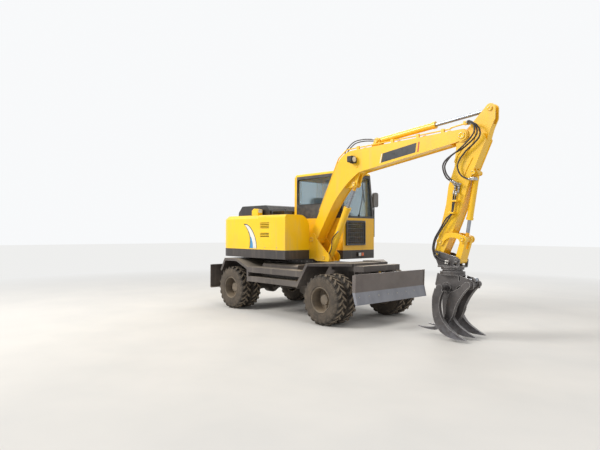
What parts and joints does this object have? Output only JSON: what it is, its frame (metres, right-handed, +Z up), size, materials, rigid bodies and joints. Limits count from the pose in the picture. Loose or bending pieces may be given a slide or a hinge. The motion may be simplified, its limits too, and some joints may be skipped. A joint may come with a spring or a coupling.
{
  "type": "wheeled sugarcane grab loader",
  "caption": "Wheeled loader with a slewing cab, a knuckled boom and stick, and a turning grab with interleaved curved tines for bundles of cane.",
  "frame": {"origin": "on the ground, below the middle of the machine's bounding box as it parks", "axes": "+X forward along the machine, +Y to the left, +Z up"},
  "size_m": [6.1029, 2.2, 3.447],
  "materials": {
    "yellow_paint": "gloss",
    "chassis_paint": "satin",
    "grab_paint": "satin",
    "black_paint": "satin",
    "cast_weight": "matte",
    "tyre_rubber": "matte",
    "chrome_rod": "polished",
    "steel": "satin",
    "black_plastic": "matte",
    "seat_fabric": "matte",
    "window_glass": "clear"
  },
  "bodies": {
    "chassis": {"chassis_frame": "chassis_paint", "front_platform": "chassis_paint", "front_axle": "chassis_paint", "rear_axle": "chassis_paint", "side_step_right": "chassis_paint", "side_step_left": "chassis_paint", "rear_bumper": "chassis_paint", "drive_train": "chassis_paint", "slewing_ring": "chassis_paint"},
    "steering_right": {"knuckle_right": "chassis_paint"},
    "steering_left": {"knuckle_left": "chassis_paint"},
    "wheels_front_right": {"tyres_front_right": "tyre_rubber", "rims_front_right": "chassis_paint"},
    "wheels_front_left": {"tyres_front_left": "tyre_rubber", "rims_front_left": "chassis_paint"},
    "wheels_rear_right": {"tyres_rear_right": "tyre_rubber", "rims_rear_right": "chassis_paint"},
    "wheels_rear_left": {"tyres_rear_left": "tyre_rubber", "rims_rear_left": "chassis_paint"},
    "blade": {"dozer_blade": "chassis_paint"},
    "blade_barrel": {"blade_cylinder": "yellow_paint"},
    "blade_piston": {"blade_rod": "chrome_rod"},
    "upper": {"swing_frame": "chassis_paint", "boom_nose": "yellow_paint", "counterweight": "cast_weight", "engine_housing": "yellow_paint", "engine_block": "cast_weight", "engine_hood": "black_paint", "right_tank": "yellow_paint", "cab_shell": "yellow_paint", "cab_roof": "yellow_paint", "cab_glass": "window_glass", "cab_guard": "black_paint", "operator_seat": "seat_fabric", "control_stand": "black_plastic", "handrails": "black_paint", "mirror": "black_plastic", "body_lamps": "yellow_paint"},
    "door": {"cab_door": "yellow_paint", "door_glass": "window_glass"},
    "arm_boom": {"boom": "yellow_paint", "boom_pipes": "steel", "work_lamp": "black_plastic"},
    "boom_barrel": {"boom_cylinder": "yellow_paint"},
    "boom_piston": {"boom_rod": "chrome_rod"},
    "arm_stick": {"stick": "yellow_paint"},
    "stick_barrel": {"stick_cylinder": "yellow_paint"},
    "stick_piston": {"stick_rod": "chrome_rod"},
    "bucket_barrel": {"bucket_cylinder": "yellow_paint"},
    "bucket_piston": {"bucket_rod": "chrome_rod"},
    "guide": {"guide_links": "yellow_paint"},
    "link": {"straight_link": "yellow_paint"},
    "head": {"grab_head": "grab_paint"},
    "grab": {"grab_frame": "grab_paint"},
    "rear_jaw": {"jaw_rear": "grab_paint"},
    "front_jaw": {"jaw_front": "grab_paint"},
    "jaw_barrel": {"jaw_cylinder": "grab_paint"},
    "jaw_piston": {"jaw_rod": "chrome_rod"}
  },
  "joints": [
    {"name": "swing", "type": "hinge", "parent": "chassis", "child": "upper", "pos_m": [-1.0215, 0, 1.05], "axis": [0, 0, 1], "continuous": true},
    {"name": "boom_lift", "type": "hinge", "parent": "upper", "child": "arm_boom", "pos_m": [-0.5915, -0.22, 1.45], "axis": [0, -1, 0], "range_deg": [-40, 28]},
    {"name": "boom_barrel_tilt", "type": "hinge", "parent": "upper", "child": "boom_barrel", "pos_m": [-0.2615, -0.22, 1.11], "axis": [0, -1, 0], "range_deg": [-37.2, 26.2]},
    {"name": "boom_piston_slide", "type": "slide", "parent": "boom_barrel", "child": "boom_piston", "axis": [0.443, 0, 0.8965], "range_m": [-0.32, 0.225]},
    {"name": "stick_swing", "type": "hinge", "parent": "arm_boom", "child": "arm_stick", "pos_m": [2.5745, -0.22, 3.03], "axis": [0, 1, 0], "range_deg": [-85, 8]},
    {"name": "stick_barrel_tilt", "type": "hinge", "parent": "arm_boom", "child": "stick_barrel", "pos_m": [0.9245, -0.22, 3.182], "axis": [0, 1, 0], "range_deg": [-9.6, 1.1]},
    {"name": "stick_piston_slide", "type": "slide", "parent": "stick_barrel", "child": "stick_piston", "axis": [0.9957, 0, 0.0922], "range_m": [-0.67, 0.065]},
    {"name": "head_tilt", "type": "hinge", "parent": "arm_stick", "child": "head", "pos_m": [2.1585, -0.22, 1.256], "axis": [0, -1, 0], "range_deg": [-40, 30]},
    {"name": "guide_tilt", "type": "hinge", "parent": "arm_stick", "child": "guide", "pos_m": [2.2085, -0.22, 1.45], "axis": [0, -1, 0], "range_deg": [-38.6, 29]},
    {"name": "link_tilt", "type": "hinge", "parent": "head", "child": "link", "pos_m": [2.4835, -0.22, 1.173], "axis": [0, -1, 0], "range_deg": [-18.6, 24.6]},
    {"name": "bucket_barrel_tilt", "type": "hinge", "parent": "arm_stick", "child": "bucket_barrel", "pos_m": [2.7375, -0.22, 2.469], "axis": [0, -1, 0], "range_deg": [-2.3, 2.9]},
    {"name": "bucket_piston_slide", "type": "slide", "parent": "bucket_barrel", "child": "bucket_piston", "axis": [-0.1603, 0, -0.9871], "range_m": [-0.18, 0.24]},
    {"name": "grab_turn", "type": "hinge", "parent": "head", "child": "grab", "pos_m": [2.3445, -0.22, 1.062], "axis": [0, 0, 1], "continuous": true},
    {"name": "jaws", "type": "hinge", "parent": "grab", "child": "rear_jaw", "pos_m": [2.3085, -0.22, 0.765], "axis": [0, -1, 0], "range_deg": [-55, 0]},
    {"name": "front_jaw_turn", "type": "hinge", "parent": "grab", "child": "front_jaw", "pos_m": [2.6735, -0.22, 0.822], "axis": [0, 1, 0], "range_deg": [-68.5, 0.5]},
    {"name": "jaw_barrel_tilt", "type": "hinge", "parent": "rear_jaw", "child": "jaw_barrel", "pos_m": [2.2595, -0.22, 0.858], "axis": [0, -1, 0], "range_deg": [-0.5, 56.9]},
    {"name": "jaw_piston_slide", "type": "slide", "parent": "jaw_barrel", "child": "jaw_piston", "axis": [0.9972, 0, 0.0747], "range_m": [-0.1895, 0.0005]},
    {"name": "blade_lift", "type": "hinge", "parent": "chassis", "child": "blade", "pos_m": [0.5385, 0, 0.47], "axis": [0, -1, 0], "range_deg": [-55, 5]},
    {"name": "blade_barrel_tilt", "type": "hinge", "parent": "chassis", "child": "blade_barrel", "pos_m": [0.7435, 0, 0.88], "axis": [0, -1, 0], "range_deg": [-2.7, 0.4]},
    {"name": "blade_piston_slide", "type": "slide", "parent": "blade_barrel", "child": "blade_piston", "axis": [-0.0278, 0, -0.9996], "range_m": [-0.018, 0.19]},
    {"name": "steer_right", "type": "hinge", "parent": "chassis", "child": "steering_right", "pos_m": [0.3585, -0.53, 0.4325], "axis": [0, 0, 1], "range_deg": [-25, 25]},
    {"name": "steer_left", "type": "hinge", "parent": "chassis", "child": "steering_left", "pos_m": [0.3585, 0.53, 0.4325], "axis": [0, 0, 1], "range_deg": [-25.5, 25.5]},
    {"name": "wheel_front_right", "type": "hinge", "parent": "steering_right", "child": "wheels_front_right", "pos_m": [0.3585, -0.85, 0.4325], "axis": [0, 1, 0], "continuous": true},
    {"name": "wheel_front_left", "type": "hinge", "parent": "steering_left", "child": "wheels_front_left", "pos_m": [0.3585, 0.85, 0.4325], "axis": [0, 1, 0], "continuous": true},
    {"name": "wheel_rear_right", "type": "hinge", "parent": "chassis", "child": "wheels_rear_right", "pos_m": [-2.2815, -0.85, 0.4325], "axis": [0, 1, 0], "continuous": true},
    {"name": "wheel_rear_left", "type": "hinge", "parent": "chassis", "child": "wheels_rear_left", "pos_m": [-2.2815, 0.85, 0.4325], "axis": [0, 1, 0], "continuous": true},
    {"name": "door_swing", "type": "hinge", "parent": "upper", "child": "door", "pos_m": [-1.0715, 0.888, 2], "axis": [0, 0, 1], "range_deg": [0, 100]}
  ],
  "couplings": [
    {"joint": "boom_barrel_tilt", "follows": "boom_lift", "ratio": 0.9236},
    {"joint": "boom_piston_slide", "follows": "boom_lift", "m_per_rad": 0.4452},
    {"joint": "stick_barrel_tilt", "follows": "stick_swing", "ratio": 0.1097},
    {"joint": "stick_piston_slide", "follows": "stick_swing", "m_per_rad": 0.4449},
    {"joint": "guide_tilt", "follows": "head_tilt", "ratio": 0.9543},
    {"joint": "link_tilt", "follows": "head_tilt", "ratio": -0.6071},
    {"joint": "bucket_barrel_tilt", "follows": "head_tilt", "ratio": -0.0664},
    {"joint": "bucket_piston_slide", "follows": "head_tilt", "m_per_rad": -0.3363},
    {"joint": "front_jaw_turn", "follows": "jaws", "ratio": 1.2364},
    {"joint": "jaw_barrel_tilt", "follows": "jaws", "ratio": -1.026},
    {"joint": "jaw_piston_slide", "follows": "jaws", "m_per_rad": 0.1965},
    {"joint": "blade_barrel_tilt", "follows": "blade_lift", "ratio": 0.0459},
    {"joint": "blade_piston_slide", "follows": "blade_lift", "m_per_rad": -0.1954},
    {"joint": "steer_left", "follows": "steer_right", "ratio": 1}
  ]
}
